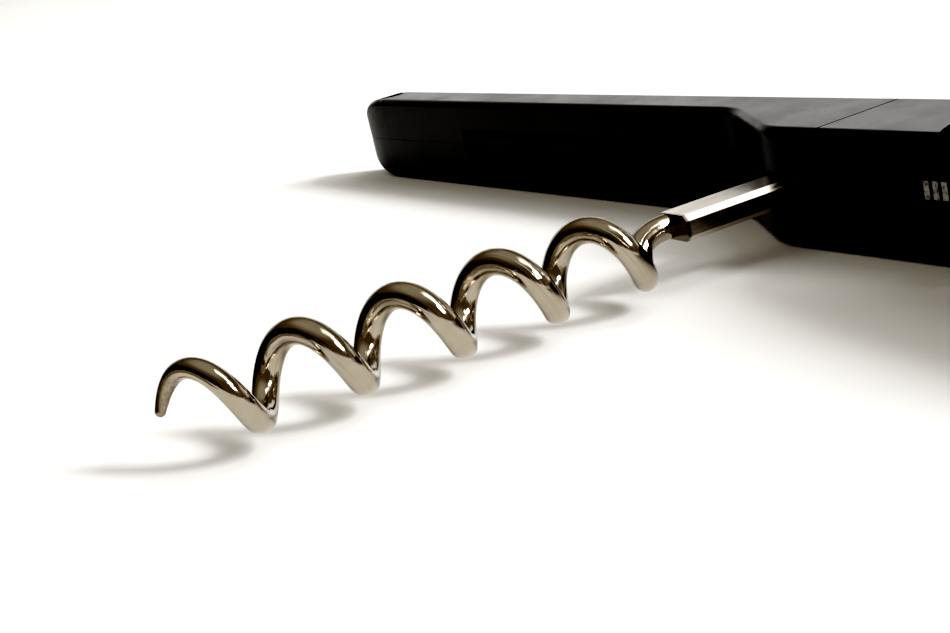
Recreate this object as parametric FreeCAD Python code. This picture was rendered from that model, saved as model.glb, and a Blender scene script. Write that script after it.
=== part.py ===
import FreeCAD, Part
import math
import os

# Waiter's corkscrew with a two-step lever, in millimetres, one STEP file for each sub-part.
# The handle lies on its side. The origin is on the rest plane under the worm's hinge pin.
# +X runs along the handle towards the lever's hinge, +Y towards the handle's spine, and +Z up
# through its thickness. The worm is unfolded towards -Y, the knife is shut in the spine at the
# -X end, and the lever is swung open in line with the handle, towards +X.

V = FreeCAD.Vector

# ---------------------------------------------------------------- driving dimensions
# handle, seen from above
thickness = 11.4
boss_front = -3.6
grip_front = 2.4
spine = 7.6
grip_end = -101.0
lever_hinge_x = 27.0
slope_angle = 27.5
slope_middle_x = -7.6
slope_round = 9.0
edge_round = 0.8
nose_length = 9.0
nose_fullness = 2.2
nose_sections = 9
nose_wall = 2.6
seam_gap = 0.04
panel_line_x = 5.0
panel_line_width = 0.25
panel_line_depth = 0.12
cradle_radius = 6.0
cradle_depth = 0.4
cradle_end_x = -70.0

# steel chassis inside the two half shells
wall = 0.9
pocket_play = 0.05
liner_thick = 0.8
bar_front = 4.0
bar_start_x = -48.0
bar_end_x = 19.5
spring_half_length = 6.5
spring_leaf = 0.4
spring_bow_gap = 0.25

# worm and its shank
worm_radius = 2.85
wire_radius = 1.15
worm_pitch = 9.0
worm_offset = 1.9
worm_lean = 3.0
tip_y = -63.9
tip_angle = -0.548 * math.pi
tip_radius = 0.45
taper_turns = 0.30
last_angle = 9.36 * math.pi
leave_pull = 3.4
arrive_pull = 3.4
coil_steps = 116
bend_steps = 12
shank_width = 4.4
shank_thick = 2.4
shank_end_y = -15.85
shank_bevel = 0.5
eye_radius = 2.6
wire_depth = 6.0
wire_room = 1.2
worm_pin_radius = 1.4
worm_pin_half = 4.0

# two-step lever
steel = 1.0
lever_width = 10.8
lever_band = (7.9, 11.4)
ear_radius = 4.5
ear_recess_radius = 9.0
ear_recess_z = 1.6
lever_pin_radius = 1.5
lever_head_radius = 2.6
lever_washer_radius = 3.4
step_x = 65.0
step_pin_radius = 1.0
step_head_radius = 1.6
step_washer_radius = 1.7
step_round = 1.7
flute_radius = 1.1
flute_start_x = 35.0
flute_length = 22.0
flute_depth = 0.55
foot_half_width = 4.1
foot_end_x = 99.0
claw_drop = 3.0
claw_notch = 1.8
lifter_start = 11.0
lifter_end = 20.0
lifter_half = 2.4
lifter_round = 1.2

# foil knife
knife_x = -93.0
knife_pin_radius = 0.9
knife_head_radius = 1.6
knife_head_low = 0.35
knife_head_high = 0.9
blade_thick = 1.0
blade_heel = 9.5
blade_bevel = 1.6
blade_flat = 0.3
nick_radius = 0.5
nick_length = 7.0
nick_from_tip = 20.0
blade_tip_x = -53.0
blade_edge_y = 3.6
blade_back_y = 8.4
blade_neck = 1.5
knife_slot_half = 0.8
knife_slot_past_tip = 1.5

# fits and fastenings
running = 0.05
clear = 0.3
washer_thick = 0.3
thin_washer = 0.2
screw_places = [14.0, -20.0, -44.0]
screw_y = 5.3
screw_radius = 0.75
screw_head_radius = 1.5
screw_head_low = 0.3
screw_head_top = 1.4
screw_depth = 4.0
screw_play = 0.1
recess_half_length = 1.1
recess_half_width = 0.2
recess_top = 0.9

# ---------------------------------------------------------------- worked out from them
mid = thickness / 2
boss_centre_y = (boss_front + spine) / 2
boss_end_radius = (spine - boss_front) / 2
boss_end = lever_hinge_x + boss_end_radius
grip_centre_y = (grip_front + spine) / 2
liner_inner = shank_thick / 2 + running + washer_thick + running
liner_outer = liner_inner + liner_thick
lever_half = lever_width / 2
step_y = (lever_band[0] + lever_band[1]) / 2
liner_end_round = (spine - grip_front) / 2 - wall - 0.4
pocket_end_round = liner_end_round + pocket_play


# ---------------------------------------------------------------- shape helpers
def rounded_outline(corners, z=0.0):
    """Closed wire at height z through (x, y, radius) corners, each rounded by a tangent arc."""
    spans = []
    count = len(corners)
    for index, (x, y, radius) in enumerate(corners):
        corner = V(x, y, z)
        back = V(corners[index - 1][0], corners[index - 1][1], z) - corner
        ahead_corner = corners[(index + 1) % count]
        ahead = V(ahead_corner[0], ahead_corner[1], z) - corner
        back.normalize()
        ahead.normalize()
        half = back.getAngle(ahead) / 2
        bisector = back + ahead
        bisector.normalize()
        reach = radius / math.tan(half)
        middle = corner + bisector * (radius / math.sin(half) - radius)
        spans.append((corner + back * reach, middle, corner + ahead * reach))
    edges = []
    for index, (start, middle, end) in enumerate(spans):
        if start.distanceToPoint(end) > 1e-6:
            edges.append(Part.Arc(start, middle, end).toShape())
        following = spans[(index + 1) % count][0]
        if end.distanceToPoint(following) > 1e-6:
            edges.append(Part.LineSegment(end, following).toShape())
    return Part.Wire(edges)


def plate(corners, z_low, z_high):
    """Flat plate between two heights, with the given rounded outline."""
    return Part.Face(rounded_outline(corners, z_low)).extrude(V(0, 0, z_high - z_low))


def block(x_low, x_high, y_low, y_high, z_low, z_high):
    return Part.makeBox(x_high - x_low, y_high - y_low, z_high - z_low, V(x_low, y_low, z_low))


def rod(x, y, z_low, z_high, radius):
    return Part.makeCylinder(radius, z_high - z_low, V(x, y, z_low), V(0, 0, 1))


def ring(x, y, z_low, z_high, outer, inner):
    return rod(x, y, z_low, z_high, outer).cut(rod(x, y, z_low, z_high, inner))


def mirrored(shape):
    """The same shape on the other side of the handle's middle plane."""
    return shape.mirror(V(0, 0, mid), V(0, 0, 1))


def pair(shape):
    """A piece and its twin on the other side of the middle plane, as two separate solids."""
    return Part.makeCompound([shape, mirrored(shape)])


def lean(shape):
    """Turn a worm piece about its hinge pin by the angle that it stands at."""
    turned = shape.copy()
    turned.rotate(V(0, 0, 0), V(0, 0, 1), -worm_lean)
    return turned


def save(node, shape):
    if not shape.isValid():
        raise RuntimeError(node + " is not a valid shape")
    shape.exportStep("parts/" + node + ".step")


# ---------------------------------------------------------------- handle shells
def handle_corners(inset, left, left_round):
    """The handle's outline from above, its sides moved inwards by inset, from left to the boss."""
    slope = math.radians(slope_angle)
    base_x = slope_middle_x + inset * math.sin(slope)
    base_y = (boss_front + grip_front) / 2 + inset * math.cos(slope)
    low = boss_front + inset
    high = grip_front + inset
    back = spine - inset
    right = boss_end - inset
    right_round = (back - low) / 2
    return [
        (right, low, right_round),
        (base_x - (low - base_y) / math.tan(slope), low, slope_round - inset),
        (base_x - (high - base_y) / math.tan(slope), high, slope_round + inset),
        (left, high, left_round),
        (left, back, left_round),
        (right, back, right_round),
    ]


def nose_section(share):
    """Rounded rectangle across the nose; share is 0 where the grip ends and 1 at the nose's tip."""
    scale = (1 - share**nose_fullness) ** (1 / nose_fullness)
    half_y = (spine - grip_front) / 2 * scale
    half_z = mid * scale
    corner = edge_round * scale
    corners = [
        (-half_z, -half_y, corner),
        (half_z, -half_y, corner),
        (half_z, half_y, corner),
        (-half_z, half_y, corner),
    ]
    section = rounded_outline(corners)
    section.rotate(V(0, 0, 0), V(0, 1, 0), 90)
    section.translate(V(grip_end + nose_length * (1 - share), grip_centre_y, mid))
    return section


def grip_nose():
    """Bullet-shaped end of the grip, rounded both ways."""
    last = 0.985
    shares = [last * math.sin(math.pi / 2 * index / nose_sections) for index in range(nose_sections + 1)]
    return Part.makeLoft([nose_section(share) for share in shares], True, False)


def handle_block():
    """The whole handle as one rounded block, before it is hollowed and split."""
    body = plate(handle_corners(0, grip_end + nose_length, 0), 0, thickness)
    rims = [edge for edge in body.Edges if on_rim(edge)]
    return body.makeFillet(edge_round, rims).fuse(grip_nose())


def on_rim(edge):
    """True for the long outer edges of the flat faces, other than the square end at the nose."""
    low = edge.BoundBox.ZMin
    high = edge.BoundBox.ZMax
    flat = high - low < 1e-6 and (low < 1e-6 or high > thickness - 1e-6)
    return flat and edge.BoundBox.XMax - edge.BoundBox.XMin > 0.1


def ear_recess():
    """Room on the lower face for the lever's ear, from the hinge out to the handle's end."""
    swing = rod(lever_hinge_x, boss_centre_y, -1, ear_recess_z, ear_recess_radius)
    end = block(lever_hinge_x, boss_end + 2, boss_front - 6, spine + 6, -1, ear_recess_z)
    return swing.fuse(end)


def cradle():
    """Shallow groove along the grip's front, in which the folded worm rests."""
    start = V(shank_end_y - clear, grip_front + cradle_depth - cradle_radius, mid)
    return Part.makeCylinder(cradle_radius, start.x - cradle_end_x, start, V(-1, 0, 0))


def hollow_handle():
    """The handle with its pocket, slots and holes, still in one piece."""
    body = handle_block()
    pocket_half = liner_outer + pocket_play
    pocket_outline = handle_corners(
        wall - pocket_play, grip_end + nose_wall - pocket_play, pocket_end_round)
    pocket = plate(pocket_outline, mid - pocket_half, mid + pocket_half)
    slot_half = shank_thick / 2 + clear
    worm_slot = block(
        shank_end_y - wire_room, shank_width / 2 + clear, boss_front - 2, shank_width / 2 + clear,
        mid - slot_half, mid + slot_half)
    knife_slot = block(
        grip_end - 1, blade_tip_x + knife_slot_past_tip, grip_front + wall, spine + 2,
        mid - knife_slot_half, mid + knife_slot_half)
    recess = ear_recess()
    tools = [pocket, worm_slot, knife_slot, recess, mirrored(recess), cradle()]
    tools.append(rod(0, 0, mid - worm_pin_half, mid + worm_pin_half, worm_pin_radius))
    tools.append(rod(lever_hinge_x, boss_centre_y, -1, thickness + 1, lever_pin_radius))
    tools.append(rod(knife_x, grip_centre_y, -1, thickness + 1, knife_pin_radius))
    head_seat = rod(knife_x, grip_centre_y, -1, knife_head_high, knife_head_radius + 0.1)
    tools.extend([head_seat, mirrored(head_seat)])
    return body.cut(tools)


def shells():
    """The two half shells, which meet at the middle plane."""
    body = hollow_handle()
    lower_half = block(grip_end - 5, boss_end + 5, -20, 20, -5, mid - seam_gap / 2)
    upper_half = block(grip_end - 5, boss_end + 5, -20, 20, mid + seam_gap / 2, thickness + 5)
    lower = body.common(lower_half)
    upper = body.common(upper_half)
    for x in screw_places:
        lower = lower.cut(rod(x, screw_y, -1, mid, screw_radius + screw_play))
        lower = lower.cut(rod(x, screw_y, -1, screw_head_top, screw_head_radius + screw_play))
        upper = upper.cut(rod(x, screw_y, mid, mid + screw_depth + 2 * screw_play, screw_radius))
    line = block(
        panel_line_x, panel_line_x + panel_line_width, boss_front - 1, spine + 1,
        thickness - panel_line_depth, thickness + 1)
    return lower, upper.cut(line)


# ---------------------------------------------------------------- steel chassis
def lower_liner():
    """Steel plate on which the worm, the knife and the lever are pinned."""
    z_low = mid - liner_outer
    z_high = mid - liner_inner
    sheet = plate(handle_corners(wall, grip_end + nose_wall, liner_end_round), z_low, z_high)
    holes = [rod(x, screw_y, z_low - 1, z_high + 1, screw_radius + screw_play) for x in screw_places]
    holes.append(rod(0, 0, z_low - 1, z_high + 1, worm_pin_radius))
    holes.append(rod(lever_hinge_x, boss_centre_y, z_low - 1, z_high + 1, lever_pin_radius))
    holes.append(rod(knife_x, grip_centre_y, z_low - 1, z_high + 1, knife_pin_radius))
    coil_room = block(
        grip_end, shank_end_y + wire_room, boss_front - 5, grip_front + wall, z_low - 1, z_high + 1)
    return sheet.cut(holes + [coil_room])


def back_bar():
    """Steel bar between the liners, along the spine."""
    bar = block(
        bar_start_x, bar_end_x, bar_front, spine - wall, mid - liner_inner, mid + liner_inner)
    holes = [rod(x, screw_y, 0, thickness, screw_radius + screw_play) for x in screw_places]
    return bar.cut(holes)


def detent_spring():
    """Bowed leaf between the back bar and the worm's eye, which holds the worm open or shut."""
    crown = eye_radius + spring_bow_gap
    left = -spring_half_length
    right = spring_half_length
    seat = bar_front - spring_leaf
    outer = Part.Arc(V(left, seat, 0), V(0, crown, 0), V(right, seat, 0))
    inner = Part.Arc(V(right, bar_front, 0), V(0, crown + spring_leaf, 0), V(left, bar_front, 0))
    right_end = Part.LineSegment(V(right, seat, 0), V(right, bar_front, 0))
    left_end = Part.LineSegment(V(left, bar_front, 0), V(left, seat, 0))
    wire = Part.Wire([side.toShape() for side in (outer, right_end, inner, left_end)])
    wire.translate(V(0, 0, mid - shank_thick / 2))
    return Part.Face(wire).extrude(V(0, 0, shank_thick))


def shell_screws():
    """Screws from below, with crossed recesses, through the lower shell into the upper one."""
    screws = []
    for x in screw_places:
        head = rod(x, screw_y, screw_head_low, screw_head_top, screw_head_radius)
        for turn in (45, 135):
            recess = block(
                -recess_half_length, recess_half_length, -recess_half_width, recess_half_width,
                0, recess_top)
            recess.rotate(V(0, 0, 0), V(0, 0, 1), turn)
            recess.translate(V(x, screw_y, 0))
            head = head.cut(recess)
        shaft = rod(x, screw_y, screw_head_top, mid + screw_depth, screw_radius)
        screws.append(head.fuse(shaft))
    return Part.makeCompound(screws)


# ---------------------------------------------------------------- worm
def helix_point(angle):
    """A point of the wire's centre line; the angle is zero at the top and grows towards +X."""
    turns = (angle - tip_angle) / (2 * math.pi)
    return V(
        worm_offset + worm_radius * math.sin(angle),
        tip_y + turns * worm_pitch,
        mid + worm_radius * math.cos(angle))


def worm_path():
    """Stations (point, radius) along the wire, from its tip to its end inside the shank."""
    stations = []
    for index in range(coil_steps + 1):
        angle = tip_angle + index / coil_steps * (last_angle - tip_angle)
        turns = (angle - tip_angle) / (2 * math.pi)
        swell = 1 - math.exp(-turns / taper_turns)
        stations.append((helix_point(angle), tip_radius + (wire_radius - tip_radius) * swell))
    start = helix_point(last_angle)
    leave = (start - helix_point(last_angle - 0.01)).normalize() * leave_pull
    arrive = V(0, arrive_pull, 0)
    end = V(worm_offset - worm_radius, shank_end_y, mid)
    for index in range(1, bend_steps + 1):
        u = index / bend_steps
        point = (
            start * (2 * u**3 - 3 * u**2 + 1) + leave * (u**3 - 2 * u**2 + u)
            + end * (3 * u**2 - 2 * u**3) + arrive * (u**3 - u**2))
        stations.append((point, wire_radius))
    for index in range(1, 4):
        stations.append((end + V(0, wire_depth * index / 3, 0), wire_radius))
    return stations


def worm_wire():
    """The pointed wire, coiled like a right-hand screw: a loft through rings along its path."""
    stations = worm_path()
    points = [point for point, radius in stations]
    radii = [radius for point, radius in stations]
    tangents = []
    for index in range(len(points)):
        ahead = points[min(index + 1, len(points) - 1)]
        behind = points[max(index - 1, 0)]
        tangents.append((ahead - behind).normalize())
    dome = [math.radians(degrees) for degrees in (12, 35, 60)]
    points = [points[0] - tangents[0] * (tip_radius * math.cos(a)) for a in dome] + points
    radii = [tip_radius * math.sin(a) for a in dome] + radii
    tangents = [tangents[0]] * len(dome) + tangents
    normal = V(1, 0, 0)
    rings = []
    for point, radius, tangent in zip(points, radii, tangents):
        normal = (normal - tangent * normal.dot(tangent)).normalize()
        out = normal * radius
        across = tangent.cross(normal) * radius
        halves = [
            Part.Arc(point + out, point + across, point - out),
            Part.Arc(point - out, point - across, point + out),
        ]
        rings.append(Part.Wire([half.toShape() for half in halves]))
    return Part.makeLoft(rings, True, False)


def worm_shank():
    """Flat forged shank with an eye for the hinge pin and a hole that holds the wire."""
    half = shank_width / 2
    z_low = mid - shank_thick / 2
    z_high = mid + shank_thick / 2
    bar = block(-half, half, shank_end_y, 0, z_low, z_high)
    long_edges = [edge for edge in bar.Edges if edge.BoundBox.YLength > 1]
    bar = bar.makeChamfer(shank_bevel, long_edges)
    eye = rod(0, 0, z_low, z_high, eye_radius)
    hole = rod(0, 0, z_low - 1, z_high + 1, worm_pin_radius + running)
    socket_x = worm_offset - worm_radius
    socket = Part.makeCylinder(wire_radius, wire_depth, V(socket_x, shank_end_y, mid), V(0, 1, 0))
    return bar.fuse(eye).removeSplitter().cut([hole, socket])


def worm_washer():
    z_high = mid - shank_thick / 2 - running
    return ring(0, 0, z_high - washer_thick, z_high, eye_radius, worm_pin_radius)


# ---------------------------------------------------------------- lever
def lever_arm():
    """Stamped channel with two ears: the lever's first step."""
    band_low, band_high = lever_band
    ear_low = boss_centre_y - ear_radius
    left = lever_hinge_x - ear_radius
    right = lever_hinge_x + ear_radius
    end = step_x + 2.6
    side = [
        (left, ear_low, ear_radius),
        (right, ear_low, ear_radius),
        (right + 1.5, band_low, 2.5),
        (step_x - 9, band_low, 0.8),
        (step_x - 8, band_low + 1.3, 0.5),
        (step_x - 5, band_low + 1.3, 0.5),
        (step_x - 4, band_low, 0.8),
        (end, band_low, step_round),
        (end, band_high, step_round),
        (left, band_high, 5.0),
    ]
    low = mid - lever_half
    flange = plate(side, low, low + steel)
    web_end = step_x - 3.2
    web = block(left + 4.9, web_end, band_high - steel, band_high, low, thickness - low)
    flute = Part.makeCylinder(
        flute_radius, flute_length, V(flute_start_x, band_high + flute_depth, mid), V(1, 0, 0))
    arm = flange.fuse([mirrored(flange), web]).removeSplitter().cut(flute)
    holes = [
        rod(lever_hinge_x, boss_centre_y, -1, thickness + 1, lever_pin_radius + running),
        rod(step_x, step_y, -1, thickness + 1, step_pin_radius),
    ]
    return arm.cut(holes)


def lever_foot():
    """The lever's second step: a narrower channel that ends in a claw and a cap lifter."""
    band_low, band_high = lever_band
    claw = foot_end_x - 5
    side = [
        (step_x - 1.75, band_low, step_round),
        (claw - 8, band_low, 2.0),
        (claw - 6.5, band_low - claw_drop, 1.0),
        (claw, band_low - claw_drop, 1.0),
        (claw, band_high - claw_notch, 0.8),
        (foot_end_x, band_high - claw_notch, 0.6),
        (foot_end_x, band_high, 0.8),
        (step_x - 1.75, band_high, step_round),
    ]
    low = mid - foot_half_width
    flange = plate(side, low, low + steel)
    web = block(step_x + 1.5, foot_end_x, band_high - steel, band_high, low, thickness - low)
    window = block(
        step_x + lifter_start, step_x + lifter_end, 0, 20, mid - lifter_half, mid + lifter_half)
    window_ends = [edge for edge in window.Edges if edge.BoundBox.YLength > 10]
    window = window.makeFillet(lifter_round, window_ends)
    foot = flange.fuse([mirrored(flange), web]).removeSplitter()
    return foot.cut([window, rod(step_x, step_y, -1, thickness + 1, step_pin_radius + running)])


def headed_pin(x, y, radius, head_radius, head_low, head_high):
    """Rivet through the handle's thickness, with a low head at each end."""
    shaft = rod(x, y, head_low, thickness - head_low, radius)
    head = rod(x, y, head_low, head_high, head_radius)
    outer_rim = [edge for edge in head.Edges if edge.BoundBox.ZMax < head_low + 1e-6]
    head = head.makeChamfer((head_high - head_low) / 2, outer_rim)
    return shaft.fuse([head, mirrored(head)]).removeSplitter()


def lever_washer():
    z_high = ear_recess_z - running
    return ring(
        lever_hinge_x, boss_centre_y, z_high - thin_washer, z_high,
        lever_washer_radius, lever_pin_radius)


def lever_bush():
    return ring(
        lever_hinge_x, boss_centre_y, mid - liner_inner, mid + liner_inner,
        lever_head_radius, lever_pin_radius)


def step_washer():
    z_low = mid - lever_half + steel + running
    return ring(step_x, step_y, z_low, z_low + thin_washer, step_washer_radius, step_pin_radius)


# ---------------------------------------------------------------- knife
def knife_blade():
    """Foil knife, shut in the spine's slot, with a hooked tip and a nail nick."""
    neck_low = grip_centre_y - blade_neck
    neck_high = grip_centre_y + blade_neck
    left = knife_x - blade_neck
    heel = knife_x + blade_heel
    outline = [
        (left, neck_low, blade_neck),
        (heel, neck_low, 0.3),
        (heel + 1, blade_edge_y, 0.3),
        (blade_tip_x - 12, blade_edge_y, 12.0),
        (blade_tip_x, blade_edge_y + 1.4, 0.8),
        (blade_tip_x, blade_back_y - 1.4, 1.2),
        (blade_tip_x - 8, blade_back_y, 8.0),
        (heel + 4, blade_back_y, 2.0),
        (heel, neck_high, 1.0),
        (left, neck_high, blade_neck),
    ]
    low = mid - blade_thick / 2
    blade = plate(outline, low, low + blade_thick)
    bevel_start = heel + 3
    corner = V(bevel_start, blade_edge_y - 0.1, low - 0.1)
    edge_top = V(bevel_start, blade_edge_y - 0.1, mid - blade_flat / 2)
    wedge = Part.makePolygon([corner, V(corner.x, blade_edge_y + blade_bevel, corner.z), edge_top, corner])
    bevel = Part.Face(wedge).extrude(V(blade_tip_x + 1 - bevel_start, 0, 0))
    nick_start = V(blade_tip_x - nick_from_tip, blade_back_y - blade_bevel, mid + blade_thick / 2)
    nick = Part.makeCylinder(nick_radius, nick_length, nick_start, V(1, 0, 0))
    pivot = rod(knife_x, grip_centre_y, 0, thickness, knife_pin_radius + running)
    return blade.cut([bevel, mirrored(bevel), nick, pivot])


def knife_washer():
    z_high = mid - blade_thick / 2 - running
    z_low = mid - liner_inner + running
    return ring(knife_x, grip_centre_y, z_low, z_high, blade_neck, knife_pin_radius)


# ---------------------------------------------------------------- all sub-parts
def main():
    os.makedirs("parts", exist_ok=True)
    lower, upper = shells()
    save("lower_shell", lower)
    save("upper_shell", upper)
    save("lower_liner", lower_liner())
    save("upper_liner", mirrored(lower_liner()))
    save("back_bar", back_bar())
    save("detent_spring", detent_spring())
    save("shell_screws", shell_screws())
    save("worm_wire", lean(worm_wire()))
    save("worm_shank", lean(worm_shank()))
    save("worm_pin", rod(0, 0, mid - worm_pin_half, mid + worm_pin_half, worm_pin_radius))
    save("worm_washers", pair(worm_washer()))
    save("lever_arm", lever_arm())
    save("lever_foot", lever_foot())
    save("lever_pin", headed_pin(
        lever_hinge_x, boss_centre_y, lever_pin_radius, lever_head_radius,
        0.03, mid - lever_half - running))
    save("lever_washers", pair(lever_washer()))
    save("lever_bush", lever_bush())
    save("step_pin", headed_pin(
        step_x, step_y, step_pin_radius, step_head_radius, 0.05, mid - lever_half))
    save("step_washers", pair(step_washer()))
    save("knife_blade", knife_blade())
    save("knife_pin", headed_pin(
        knife_x, grip_centre_y, knife_pin_radius, knife_head_radius,
        knife_head_low, knife_head_high))
    save("knife_washers", pair(knife_washer()))


main()
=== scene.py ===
import math

import bpy
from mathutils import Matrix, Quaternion, Vector


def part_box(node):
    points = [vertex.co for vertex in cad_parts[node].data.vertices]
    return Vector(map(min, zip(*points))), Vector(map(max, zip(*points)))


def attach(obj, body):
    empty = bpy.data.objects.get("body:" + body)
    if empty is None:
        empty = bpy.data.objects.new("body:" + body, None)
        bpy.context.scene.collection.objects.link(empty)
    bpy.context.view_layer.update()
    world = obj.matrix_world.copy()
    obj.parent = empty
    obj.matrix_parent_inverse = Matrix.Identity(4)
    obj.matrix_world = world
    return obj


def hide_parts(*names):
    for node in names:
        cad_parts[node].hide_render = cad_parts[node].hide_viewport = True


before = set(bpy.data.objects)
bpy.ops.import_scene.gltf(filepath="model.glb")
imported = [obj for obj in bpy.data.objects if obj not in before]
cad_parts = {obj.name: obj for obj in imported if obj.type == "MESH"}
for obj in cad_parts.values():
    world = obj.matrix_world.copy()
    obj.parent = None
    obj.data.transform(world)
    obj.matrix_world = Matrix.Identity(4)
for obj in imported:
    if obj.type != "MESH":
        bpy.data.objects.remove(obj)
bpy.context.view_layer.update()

# Looks of the waiter's corkscrew, in metres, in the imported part's own frame: the handle lies along
# X on the floor at Z 0, the worm is unfolded towards -Y and the lever is open towards +X.

MM = 0.001

# ---------------------------------------------------------------- places taken from the frame
pin_low, pin_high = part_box("worm_pin")
fold_x = (pin_low.x + pin_high.x) / 2
fold_y = (pin_low.y + pin_high.y) / 2
middle_z = (pin_low.z + pin_high.z) / 2
boss_front_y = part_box("upper_shell")[0].y
shank_front_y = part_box("worm_shank")[0].y

# worm, as in the CAD: a helix about a line beside the hinge pin, then a bend into the shank
worm_radius = 2.85 * MM
wire_radius = 1.149 * MM  # a micron inside the CAD wire
worm_pitch = 9.0 * MM
worm_offset = 1.9 * MM
worm_lean = math.radians(3.0)
tip_y = -63.9 * MM
tip_angle = -0.548 * math.pi
last_angle = 9.36 * math.pi
tip_radius = 0.45 * MM
taper_turns = 0.30
shank_end_y = -15.85 * MM
wire_depth = 6.0 * MM
leave_pull = 3.4 * MM
arrive_pull = 3.4 * MM
small_turn = 0.01

# fineness of the wire's skin
coil_steps = 560
bend_steps = 56
straight_steps = 6
dome_steps = 6
coil_sides = 40

# printed bars on the boss
bar_count = 9
bar_width = 0.62 * MM
bar_gap = 0.38 * MM
bar_height = 1.6 * MM
first_bar_x = 17.5 * MM
bars_above_middle = 0.15 * MM
ink_depth = 0.02 * MM

# camera
camera_place = Vector((112.06, -94.67, 39.40)) * MM
camera_azimuth = math.radians(62.968)
camera_elevation = math.radians(15.401)
camera_roll = math.radians(-13.068)
camera_lens = 60.087
camera_sensor = 36.0

# lights
window_distance = 14.0

# film: scene levels shown as black and white, and how levels between them are shown
black_level = 0.004
white_level = 0.92
tone_curve = [(0.03, 0.004), (0.07, 0.035), (0.18, 0.165), (0.60, 0.62)]


# ---------------------------------------------------------------- mesh helpers
def mesh_piece(name, points, faces, smooth=True):
    """A new object from points and faces, linked into the scene."""
    mesh = bpy.data.meshes.new(name)
    mesh.from_pydata(points, [], faces)
    mesh.validate()
    mesh.polygons.foreach_set("use_smooth", [smooth] * len(mesh.polygons))
    piece = bpy.data.objects.new(name, mesh)
    bpy.context.scene.collection.objects.link(piece)
    return piece


def lean(point):
    """Turn a worm point about its hinge pin by the angle that it stands at."""
    x = point.x - fold_x
    y = point.y - fold_y
    c = math.cos(worm_lean)
    s = math.sin(worm_lean)
    return Vector((fold_x + x * c + y * s, fold_y - x * s + y * c, point.z))


# ---------------------------------------------------------------- worm wire
def helix_point(angle):
    """Middle of the wire at an angle about the worm's axis, before the worm is leant."""
    turns = (angle - tip_angle) / (2 * math.pi)
    return Vector((
        worm_offset + worm_radius * math.sin(angle),
        tip_y + turns * worm_pitch,
        middle_z + worm_radius * math.cos(angle)))


def worm_path():
    """Stations (point, radius) along the wire, from its tip to its end inside the shank."""
    stations = []
    for index in range(coil_steps + 1):
        angle = tip_angle + index / coil_steps * (last_angle - tip_angle)
        turns = (angle - tip_angle) / (2 * math.pi)
        swell = 1 - math.exp(-turns / taper_turns)
        stations.append((helix_point(angle), tip_radius + (wire_radius - tip_radius) * swell))
    start = helix_point(last_angle)
    leave = (start - helix_point(last_angle - small_turn)).normalized() * leave_pull
    arrive = Vector((0, arrive_pull, 0))
    end = Vector((worm_offset - worm_radius, shank_end_y, middle_z))
    for index in range(1, bend_steps + 1):
        u = index / bend_steps
        point = (
            start * (2 * u**3 - 3 * u**2 + 1) + leave * (u**3 - 2 * u**2 + u)
            + end * (3 * u**2 - 2 * u**3) + arrive * (u**3 - u**2))
        stations.append((point, wire_radius))
    for index in range(1, straight_steps + 1):
        stations.append((end + Vector((0, wire_depth * index / straight_steps, 0)), wire_radius))
    return [(lean(point), radius) for point, radius in stations]


def worm_coil():
    """The wire as an even skin of quads, with a UV map: U round the wire, V along it in metres."""
    stations = worm_path()
    sides = coil_sides
    first, second = stations[0][0], stations[1][0]
    direction = (second - first).normalized()
    dome = []
    for step in range(1, dome_steps + 1):
        swing = math.radians(90 * step / (dome_steps + 1))
        dome.append((first - direction * tip_radius * math.cos(swing), tip_radius * math.sin(swing)))
    stations = dome + stations
    count = len(stations)
    points = []
    lengths = [0.0]
    normal = Vector((1, 0, 0))
    for index, (point, radius) in enumerate(stations):
        ahead = stations[min(index + 1, count - 1)][0]
        behind = stations[max(index - 1, 0)][0]
        tangent = (ahead - behind).normalized()
        normal = (normal - tangent * normal.dot(tangent)).normalized()
        across = tangent.cross(normal)
        for side in range(sides):
            turn = 2 * math.pi * side / sides
            points.append(point + (normal * math.cos(turn) + across * math.sin(turn)) * radius)
        if index:
            lengths.append(lengths[-1] + (point - stations[index - 1][0]).length)
    faces = []
    coordinates = []
    for index in range(count - 1):
        for side in range(sides):
            following = (side + 1) % sides
            low = index * sides
            high = low + sides
            faces.append((low + side, low + following, high + following, high + side))
            left = side / sides
            right = (side + 1) / sides
            coordinates.extend([
                (left, lengths[index]), (right, lengths[index]),
                (right, lengths[index + 1]), (left, lengths[index + 1])])
    points.append(first - direction * tip_radius)
    points.append(stations[-1][0])
    tip = len(points) - 2
    end = len(points) - 1
    last = (count - 1) * sides
    for side in range(sides):
        following = (side + 1) % sides
        faces.append((following, side, tip))
        coordinates.extend([(0.0, 0.0)] * 3)
        faces.append((last + side, last + following, end))
        coordinates.extend([(0.0, lengths[-1])] * 3)
    coil = mesh_piece("worm_coil", points, faces)
    layer = coil.data.uv_layers.new(name="along")
    layer.data.foreach_set("uv", [value for pair in coordinates for value in pair])
    return coil


# ---------------------------------------------------------------- printed bars
def print_bars():
    """A plain row of printed bars on the front of the boss, in place of any lettering."""
    points = []
    faces = []
    low_z = middle_z + bars_above_middle
    high_z = low_z + bar_height
    front = boss_front_y - ink_depth
    back = boss_front_y + ink_depth
    for index in range(bar_count):
        left = first_bar_x + index * (bar_width + bar_gap)
        right = left + bar_width
        base = len(points)
        for y in (front, back):
            points.extend([(left, y, low_z), (right, y, low_z), (right, y, high_z), (left, y, high_z)])
        quads = [(0, 1, 2, 3), (7, 6, 5, 4), (0, 4, 5, 1), (1, 5, 6, 2), (2, 6, 7, 3), (3, 7, 4, 0)]
        faces.extend([tuple(base + corner for corner in quad) for quad in quads])
    return mesh_piece("print_bars", points, faces, smooth=False)


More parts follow.
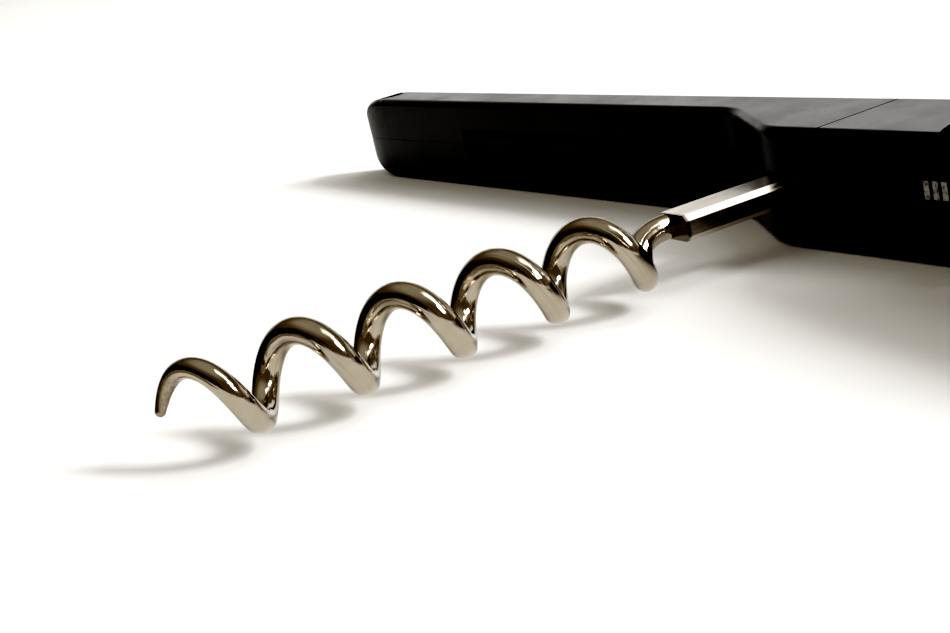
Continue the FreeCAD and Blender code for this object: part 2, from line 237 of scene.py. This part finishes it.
# ---------------------------------------------------------------- node helpers
class Nodes:
    """Short calls for building a node tree."""

    def __init__(self, tree):
        self.tree = tree

    def add(self, kind, inputs=(), **settings):
        """A new node with its inputs linked to sockets or set to values."""
        node = self.tree.nodes.new(kind)
        for name, value in settings.items():
            setattr(node, name, value)
        for name, value in dict(inputs).items():
            if isinstance(value, bpy.types.NodeSocket):
                self.tree.links.new(value, node.inputs[name])
            else:
                node.inputs[name].default_value = value
        return node

    def math(self, operation, first, second=0.0):
        """Result of a maths node on sockets or values."""
        return self.add("ShaderNodeMath", {0: first, 1: second}, operation=operation).outputs[0]

    def spread(self, value, low, high, to_low, to_high):
        """Maps value from low..high to to_low..to_high, smoothly and clamped."""
        node = self.add("ShaderNodeMapRange", {
            "Value": value, "From Min": low, "From Max": high, "To Min": to_low, "To Max": to_high})
        node.interpolation_type = "SMOOTHSTEP"
        return node.outputs["Result"]

    def stretched(self, vector, scale):
        """The vector times a scale for each axis."""
        return self.add("ShaderNodeMapping", {"Vector": vector, "Scale": scale}).outputs["Vector"]

    def noise(self, vector, scale=1.0, detail=3.0, roughness=0.5):
        """Soft noise about 0.5, with scale cycles to one unit of the vector."""
        node = self.add("ShaderNodeTexNoise", {
            "Vector": vector, "Scale": scale, "Detail": detail, "Roughness": roughness})
        return node.outputs["Fac"]

    def blend(self, factor, first, second):
        """Colour between first and second."""
        node = self.add("ShaderNodeMix", data_type="RGBA")
        self.tree.links.new(factor, node.inputs["Factor"])
        for name, colour in (("A", first), ("B", second)):
            socket = [s for s in node.inputs if s.name == name and s.type == "RGBA"][0]
            if isinstance(colour, bpy.types.NodeSocket):
                self.tree.links.new(colour, socket)
            else:
                socket.default_value = (*colour, 1.0)
        return [s for s in node.outputs if s.type == "RGBA"][0]

    def bump(self, height, distance, normal=None):
        """Normal of a surface raised by height times distance, in metres."""
        inputs = {"Height": height, "Distance": distance, "Strength": 1.0}
        if normal is not None:
            inputs["Normal"] = normal
        return self.add("ShaderNodeBump", inputs).outputs["Normal"]


def material(name, metallic=0.0, **uniform):
    """A new Principled material: returns it, its node helper and its shader."""
    made = bpy.data.materials.new(name)
    made.use_nodes = True
    tree = made.node_tree
    shader = tree.nodes["Principled BSDF"]
    shader.inputs["Metallic"].default_value = metallic
    for socket, value in uniform.items():
        shader.inputs[socket.replace("_", " ")].default_value = value
    return made, Nodes(tree), shader


def wire(nodes, shader, **sockets):
    """Links outputs to the shader's sockets."""
    for socket, value in sockets.items():
        nodes.tree.links.new(value, shader.inputs[socket.replace("_", " ")])


def place(nodes):
    """Position on the object, in metres."""
    return nodes.add("ShaderNodeTexCoord").outputs["Object"]


def worn_edges(nodes, low, high):
    """0 on flats and 1 on sharp outer edges."""
    pointiness = nodes.add("ShaderNodeNewGeometry").outputs["Pointiness"]
    return nodes.spread(pointiness, low, high, 0.0, 1.0)


# ---------------------------------------------------------------- materials
def moulded_plastic():
    """Black moulded plastic, with more sheen on its upper face: grain, haze and fine scratches."""
    made, nodes, shader = material("moulded_plastic", IOR=1.5)
    where = place(nodes)
    facing = nodes.add("ShaderNodeTexCoord").outputs["Normal"]
    upright = nodes.add("ShaderNodeSeparateXYZ", {0: facing}).outputs["Z"]
    sheen = nodes.spread(upright, 0.25, 0.85, 0.06, 0.22)
    grain = nodes.noise(where, scale=5200.0, detail=2.0)
    haze = nodes.noise(where, scale=140.0, detail=4.0, roughness=0.6)
    along_grip = nodes.stretched(where, (160.0, 5200.0, 5200.0))
    rubs = nodes.noise(along_grip, roughness=0.7)
    colour = nodes.blend(haze, (0.0028, 0.0028, 0.0029), (0.0055, 0.0054, 0.0052))
    worn = worn_edges(nodes, 0.52, 0.62)
    colour = nodes.blend(nodes.math("MULTIPLY", worn, 0.4), colour, (0.016, 0.0155, 0.015))
    rough = nodes.spread(haze, 0.3, 0.7, 0.27, 0.35)
    rough = nodes.math("ADD", rough, nodes.spread(rubs, 0.60, 0.80, 0.0, 0.08))
    normal = nodes.bump(grain, 0.010 * MM)
    wire(nodes, shader, Base_Color=colour, Roughness=rough, Specular_IOR_Level=sheen, Normal=normal)
    return made


def drawn_nickel():
    """Plated drawn wire: bright and warm, with fine lines along it and a dull ground tip."""
    made, nodes, shader = material("drawn_nickel", metallic=1.0)
    along = nodes.add("ShaderNodeUVMap", uv_map="along").outputs["UV"]
    parts = nodes.add("ShaderNodeSeparateXYZ", {0: along})
    turn = nodes.math("MULTIPLY", parts.outputs["X"], 2 * math.pi)
    cycles_per_metre = 55.0
    ring = nodes.add("ShaderNodeCombineXYZ", {
        "X": nodes.math("COSINE", turn), "Y": nodes.math("SINE", turn),
        "Z": nodes.math("MULTIPLY", parts.outputs["Y"], cycles_per_metre)}).outputs[0]
    lines = nodes.noise(nodes.stretched(ring, (11.0, 11.0, 1.0)), roughness=0.6)
    creases = nodes.noise(nodes.stretched(ring, (4.0, 4.0, 1.6)), detail=2.0)
    worn_from = 6 * MM
    worn_to = 22 * MM
    worn = nodes.spread(parts.outputs["Y"], worn_from, worn_to, 0.1, 1.0)
    fine = nodes.noise(place(nodes), scale=900.0, detail=3.0, roughness=0.6)
    colour = nodes.blend(fine, (0.425, 0.375, 0.300), (0.33, 0.285, 0.220))
    dirt = nodes.spread(lines, 0.58, 0.70, 0.0, 0.55)
    colour = nodes.blend(nodes.math("MULTIPLY", dirt, worn), colour, (0.12, 0.095, 0.062))
    ground_to = 2.5 * MM
    polished_from = 6.5 * MM
    ground = nodes.spread(parts.outputs["Y"], ground_to, polished_from, 1.0, 0.0)
    specks = nodes.noise(place(nodes), scale=2600.0, roughness=0.6)
    mottle = nodes.spread(specks, 0.35, 0.65, 0.35, 0.9)
    colour = nodes.blend(nodes.math("MULTIPLY", ground, mottle), colour, (0.20, 0.165, 0.11))
    rough = nodes.spread(fine, 0.3, 0.7, 0.06, 0.12)
    rough = nodes.math("ADD", rough, nodes.math("MULTIPLY", ground, 0.22))
    sharp = nodes.spread(creases, 0.52, 0.56, 0.0, 1.0)
    height = nodes.math("ADD", nodes.math("MULTIPLY", lines, 0.4), nodes.math("MULTIPLY", sharp, 0.25))
    normal = nodes.bump(nodes.math("MULTIPLY", height, worn), 0.02 * MM)
    wire(nodes, shader, Base_Color=colour, Roughness=rough, Normal=normal)
    return made


def forged_nickel():
    """Plated forged shank: fine grinding lines along it, and painted shade at its end."""
    made, nodes, shader = material("forged_nickel", metallic=1.0)
    where = place(nodes)
    along_shank = nodes.stretched(where, (2600.0, 90.0, 2600.0))
    lines = nodes.noise(along_shank, detail=4.0, roughness=0.65)
    cloud = nodes.noise(where, scale=260.0, detail=3.0, roughness=0.55)
    bright = (0.57, 0.52, 0.45)
    dull = (0.46, 0.41, 0.345)
    colour = nodes.blend(nodes.spread(cloud, 0.3, 0.7, 0.0, 1.0), bright, dull)
    along = nodes.add("ShaderNodeSeparateXYZ", {0: where}).outputs["Y"]
    # painted shade: the shank's end and a ragged band behind it are painted near black, a painted dark
    # reflection of the shaded floor there
    painted_shade_raggedness = 0.35 * MM
    painted_shade_fade = 0.35 * MM
    painted_shade_edge = shank_front_y + 0.30 * MM
    near_end = nodes.math("ADD", along, nodes.math("MULTIPLY", cloud, painted_shade_raggedness))
    painted_shade = nodes.spread(near_end, painted_shade_edge, painted_shade_edge + painted_shade_fade, 0.93, 0.0)
    colour = nodes.blend(painted_shade, colour, (0.045, 0.028, 0.014))
    polish = 0.13
    roughness = nodes.math("ADD", nodes.spread(lines, 0.3, 0.7, 0.0, 0.10), polish)
    normal = nodes.bump(lines, 0.006 * MM)
    normal = nodes.bump(cloud, 0.02 * MM, normal)
    wire(nodes, shader, Base_Color=colour, Roughness=roughness, Normal=normal)
    return made


def lever_plate():
    """Stamped and plated lever: satin, with handling scratches and brighter rubbed edges."""
    made, nodes, shader = material("lever_plate", metallic=1.0)
    where = place(nodes)
    along_lever = nodes.stretched(where, (60.0, 1900.0, 1900.0))
    lines = nodes.noise(along_lever, detail=5.0, roughness=0.7)
    cloud = nodes.noise(where, scale=180.0, detail=3.0, roughness=0.5)
    colour = nodes.blend(cloud, (0.34, 0.315, 0.270), (0.235, 0.215, 0.180))
    colour = nodes.blend(worn_edges(nodes, 0.51, 0.58), colour, (0.50, 0.47, 0.42))
    roughness = nodes.spread(lines, 0.3, 0.7, 0.17, 0.33)
    normal = nodes.bump(lines, 0.006 * MM)
    wire(nodes, shader, Base_Color=colour, Roughness=roughness, Normal=normal)
    return made


def turned_pin():
    """Rivets and pins: turned steel with a finely peened face."""
    made, nodes, shader = material("turned_pin", metallic=1.0)
    where = place(nodes)
    dents = nodes.add("ShaderNodeTexVoronoi", {"Vector": where, "Scale": 1500.0}).outputs["Distance"]
    cloud = nodes.noise(where, scale=700.0, detail=3.0, roughness=0.6)
    colour = nodes.blend(cloud, (0.58, 0.56, 0.53), (0.42, 0.40, 0.37))
    roughness = nodes.spread(cloud, 0.3, 0.7, 0.18, 0.34)
    normal = nodes.bump(dents, 0.015 * MM)
    wire(nodes, shader, Base_Color=colour, Roughness=roughness, Normal=normal)
    return made


def rolled_steel(name, bright, dull, rough_low, rough_high, stretch):
    """Sheet metal with fine lines, closer together where stretch is larger, and a slight cloud."""
    made, nodes, shader = material(name, metallic=1.0)
    where = place(nodes)
    lines = nodes.noise(nodes.stretched(where, stretch), detail=5.0, roughness=0.7)
    cloud = nodes.noise(where, scale=140.0, detail=4.0, roughness=0.6)
    colour = nodes.blend(cloud, bright, dull)
    roughness = nodes.spread(lines, 0.25, 0.75, rough_low, rough_high)
    normal = nodes.bump(lines, 0.008 * MM)
    wire(nodes, shader, Base_Color=colour, Roughness=roughness, Normal=normal)
    return made


def printed_ink():
    """Pale pad-printed ink, worn thin in places."""
    made, nodes, shader = material("printed_ink", Roughness=0.55)
    where = place(nodes)
    wear = nodes.noise(where, scale=2400.0, detail=4.0, roughness=0.7)
    thin = nodes.spread(wear, 0.42, 0.62, 0.0, 1.0)
    colour = nodes.blend(thin, (0.36, 0.35, 0.33), (0.09, 0.088, 0.083))
    wire(nodes, shader, Base_Color=colour, Normal=nodes.bump(wear, 0.01 * MM))
    return made


def white_paper():
    """The matt white sheet that the corkscrew lies on."""
    made, nodes, shader = material("white_paper", Roughness=0.85, Specular_IOR_Level=0.2)
    where = place(nodes)
    fibres = nodes.noise(where, scale=1800.0, detail=4.0, roughness=0.6)
    cloud = nodes.noise(where, scale=12.0, detail=2.0, roughness=0.5)
    colour = nodes.blend(cloud, (0.905, 0.905, 0.90), (0.93, 0.93, 0.925))
    wire(nodes, shader, Base_Color=colour, Normal=nodes.bump(fibres, 0.01 * MM))
    return made


def dress(material_made, *names):
    """Gives CAD nodes their finish."""
    for name in names:
        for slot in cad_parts[name].material_slots:
            slot.material = material_made


# ---------------------------------------------------------------- stage, light and camera
def ring_points(reach, sides, z):
    """Points on a circle about the origin."""
    turns = [2 * math.pi * side / sides for side in range(sides)]
    return [(reach * math.cos(turn), reach * math.sin(turn), z) for turn in turns]


def floor():
    """A wide round sheet at Z 0."""
    reach = 12.0
    sides = 96
    ring = ring_points(reach, sides, 0.0)
    sheet = mesh_piece("floor", ring, [tuple(range(sides))], smooth=False)
    sheet.data.materials.append(white_paper())


def room():
    """Dim warm room, with a pale wall low down at the back left and a dark wall front left."""
    back_left = (-0.64, 0.77, 0.0)
    front_left = (-0.45, -0.89, 0.0)
    ceiling_colour = (0.50, 0.47, 0.41)
    room_colour = (0.16, 0.13, 0.09)
    pale_wall_colour = (1.15, 1.13, 1.10)
    dark_wall_colour = (0.004, 0.003, 0.003)
    world = bpy.data.worlds.new("room")
    bpy.context.scene.world = world
    world.use_nodes = True
    nodes = Nodes(world.node_tree)
    background = world.node_tree.nodes["Background"]
    direction = nodes.add("ShaderNodeTexCoord").outputs["Generated"]
    height = nodes.add("ShaderNodeSeparateXYZ", {0: direction}).outputs["Z"]

    def towards(side, low, high):
        dot = nodes.add("ShaderNodeVectorMath", {0: direction, 1: side}, operation="DOT_PRODUCT")
        return nodes.spread(dot.outputs["Value"], low, high, 0.0, 1.0)

    pale_wall = nodes.math(
        "MULTIPLY", towards(back_left, 0.30, 0.75), nodes.spread(height, 0.30, 0.42, 1.0, 0.0))
    dark_wall = nodes.math(
        "MULTIPLY", towards(front_left, 0.10, 0.50), nodes.spread(height, 0.30, 0.55, 1.0, 0.0))
    ceiling = nodes.spread(height, 0.60, 0.95, 0.0, 1.0)
    colour = nodes.blend(ceiling, room_colour, ceiling_colour)
    colour = nodes.blend(dark_wall, colour, dark_wall_colour)
    colour = nodes.blend(pale_wall, colour, pale_wall_colour)
    world.node_tree.links.new(colour, background.inputs["Color"])


def window(name, azimuth, elevation, wide, tall, radiance):
    """A far soft rectangular light, its place and size in degrees; azimuth is from +X towards +Y."""
    data = bpy.data.lights.new(name, "AREA")
    data.shape = "RECTANGLE"
    data.size = 2 * window_distance * math.tan(math.radians(wide / 2))
    data.size_y = 2 * window_distance * math.tan(math.radians(tall / 2))
    data.energy = radiance * math.pi * data.size * data.size_y
    lamp = bpy.data.objects.new(name, data)
    around = math.radians(azimuth)
    above = math.radians(elevation)
    towards = Vector((
        math.cos(around) * math.cos(above), math.sin(around) * math.cos(above), math.sin(above)))
    lamp.location = towards * window_distance
    lamp.rotation_mode = "QUATERNION"
    lamp.rotation_quaternion = towards.to_track_quat("Z", "Y")
    lamp.visible_camera = False
    bpy.context.scene.collection.objects.link(lamp)


def table_flag():
    """A brown card past the worm's tip that glows with its own light and is seen in reflections only,
    standing in for a shaded table beyond the sheet.
    """
    height = 0.8 * MM
    outline = [(10, -88), (-40, -74), (-190, -38), (-900, 130), (-1500, -900), (10, -900)]
    points = [(x * MM, y * MM, height) for x, y in outline]
    card = mesh_piece("table_flag", points, [tuple(range(len(points)))], smooth=False)
    # the card glows though it is no lamp: its brown emission, with a wood grain in it, is a painted
    # reflection of a table in shade
    made, nodes, shader = material("table_glow", Roughness=1.0)
    shader.inputs["Base Color"].default_value = (0.0, 0.0, 0.0, 1.0)
    shader.inputs["Emission Strength"].default_value = 1.0
    grain = nodes.noise(nodes.stretched(place(nodes), (6.0, 60.0, 1.0)))
    wire(nodes, shader, Emission_Color=nodes.blend(grain, (0.22, 0.185, 0.125), (0.30, 0.25, 0.175)))
    card.data.materials.append(made)
    card.visible_camera = False
    card.visible_diffuse = False
    card.visible_transmission = False
    card.visible_shadow = False


def shade_card():
    """A dark card over the lever, out of the picture, for the soft shadow at the picture's right."""
    height = 16.0 * MM
    outline = [(22, 10), (22, -4), (40, -9), (60, -12), (84, -12), (84, 10)]
    points = [(x * MM, y * MM, height) for x, y in outline]
    card = mesh_piece("shade_card", points, [tuple(range(len(points)))], smooth=False)
    made, nodes, shader = material("shade_paper", Roughness=0.9)
    fibres = nodes.noise(place(nodes), scale=900.0, detail=3.0)
    wire(nodes, shader, Base_Color=nodes.blend(fibres, (0.02, 0.02, 0.02), (0.04, 0.04, 0.04)))
    card.data.materials.append(made)
    card.visible_camera = False
    card.visible_glossy = False
    card.visible_transmission = False


def backdrop():
    """A pale surround, seen by the camera only, so that low views have a plain background."""
    reach = 11.5
    sides = 64
    foot_z = -0.5
    top_z = 9.0
    points = ring_points(reach, sides, foot_z) + ring_points(reach, sides, top_z)
    faces = []
    for side in range(sides):
        following = (side + 1) % sides
        faces.append((side, side + sides, following + sides, following))
    surround = mesh_piece("backdrop", points, faces)
    made, nodes, shader = material("backdrop_paint", Roughness=1.0)
    shader.inputs["Base Color"].default_value = (0.0, 0.0, 0.0, 1.0)
    shader.inputs["Emission Strength"].default_value = 1.0
    shade = nodes.noise(place(nodes), scale=0.4, detail=2.0)
    wire(nodes, shader, Emission_Color=nodes.blend(shade, (0.93, 0.93, 0.925), (0.97, 0.97, 0.965)))
    surround.data.materials.append(made)
    surround.visible_diffuse = False
    surround.visible_glossy = False
    surround.visible_transmission = False
    surround.visible_shadow = False


def camera():
    """Low from the front right, with the picture tilted by the camera's roll."""
    data = bpy.data.cameras.new("camera")
    data.lens = camera_lens
    data.sensor_width = camera_sensor
    data.clip_start = 0.001
    data.clip_end = 60.0
    made = bpy.data.objects.new("camera", data)
    made.location = camera_place
    back = Vector((
        math.sin(camera_azimuth) * math.cos(camera_elevation),
        -math.cos(camera_azimuth) * math.cos(camera_elevation),
        math.sin(camera_elevation)))
    made.rotation_mode = "QUATERNION"
    made.rotation_quaternion = (
        (-back).to_track_quat("-Z", "Y") @ Quaternion((0, 0, 1), camera_roll))
    bpy.context.scene.collection.objects.link(made)
    bpy.context.scene.camera = made


def film():
    """Plain display transform with the deep blacks and open whites of a bright table-top picture."""
    view = bpy.context.scene.view_settings
    view.view_transform = "Standard"
    view.look = "None"
    view.exposure = 0.0
    view.use_curve_mapping = True
    view.curve_mapping.black_level = [black_level] * 3
    view.curve_mapping.white_level = [white_level] * 3
    combined = view.curve_mapping.curves[3]
    for level, shown in tone_curve:
        combined.points.new(level, shown)
    view.curve_mapping.update()


# ---------------------------------------------------------------- assembly
def dress_frame():
    """Finishes of all the CAD nodes that stay visible."""
    dress(moulded_plastic(), "upper_shell", "lower_shell")
    steel = rolled_steel(
        "rolled_steel", bright=(0.50, 0.49, 0.47), dull=(0.33, 0.32, 0.30),
        rough_low=0.25, rough_high=0.42, stretch=(70.0, 2200.0, 2200.0))
    spring = rolled_steel(
        "spring_steel", bright=(0.40, 0.42, 0.46), dull=(0.22, 0.24, 0.28),
        rough_low=0.22, rough_high=0.36, stretch=(90.0, 2600.0, 2600.0))
    brass = rolled_steel(
        "washer_brass", bright=(0.72, 0.52, 0.23), dull=(0.52, 0.36, 0.15),
        rough_low=0.22, rough_high=0.40, stretch=(1400.0, 1400.0, 200.0))
    blade = rolled_steel(
        "blade_steel", bright=(0.60, 0.60, 0.59), dull=(0.48, 0.48, 0.47),
        rough_low=0.16, rough_high=0.32, stretch=(2600.0, 110.0, 2600.0))
    screws = rolled_steel(
        "screw_steel", bright=(0.20, 0.195, 0.185), dull=(0.10, 0.098, 0.094),
        rough_low=0.28, rough_high=0.42, stretch=(1600.0, 1600.0, 1600.0))
    dress(steel, "upper_liner", "lower_liner", "back_bar")
    dress(spring, "detent_spring")
    dress(brass, "worm_washers", "lever_washers", "step_washers", "knife_washers")
    dress(blade, "knife_blade")
    dress(screws, "shell_screws")
    dress(turned_pin(), "worm_pin", "lever_pin", "lever_bush", "step_pin", "knife_pin")
    dress(lever_plate(), "lever_arm", "lever_foot")
    dress(forged_nickel(), "worm_shank")


def add_pieces():
    """The worm's skin in place of its plain solid, and the print on the boss."""
    coil = worm_coil()
    coil.data.materials.append(drawn_nickel())
    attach(coil, "worm")
    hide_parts("worm_wire")
    bars = print_bars()
    bars.data.materials.append(printed_ink())
    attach(bars, "handle")


dress_frame()
add_pieces()
floor()
backdrop()
table_flag()
shade_card()
room()
window("window_low", azimuth=29.0, elevation=31.0, wide=9.0, tall=17.0, radiance=82.0)
window("window_side", azimuth=42.0, elevation=42.0, wide=10.0, tall=17.0, radiance=9.0)
window("window_high", azimuth=52.0, elevation=60.0, wide=24.0, tall=24.0, radiance=3.4)
camera()
film()
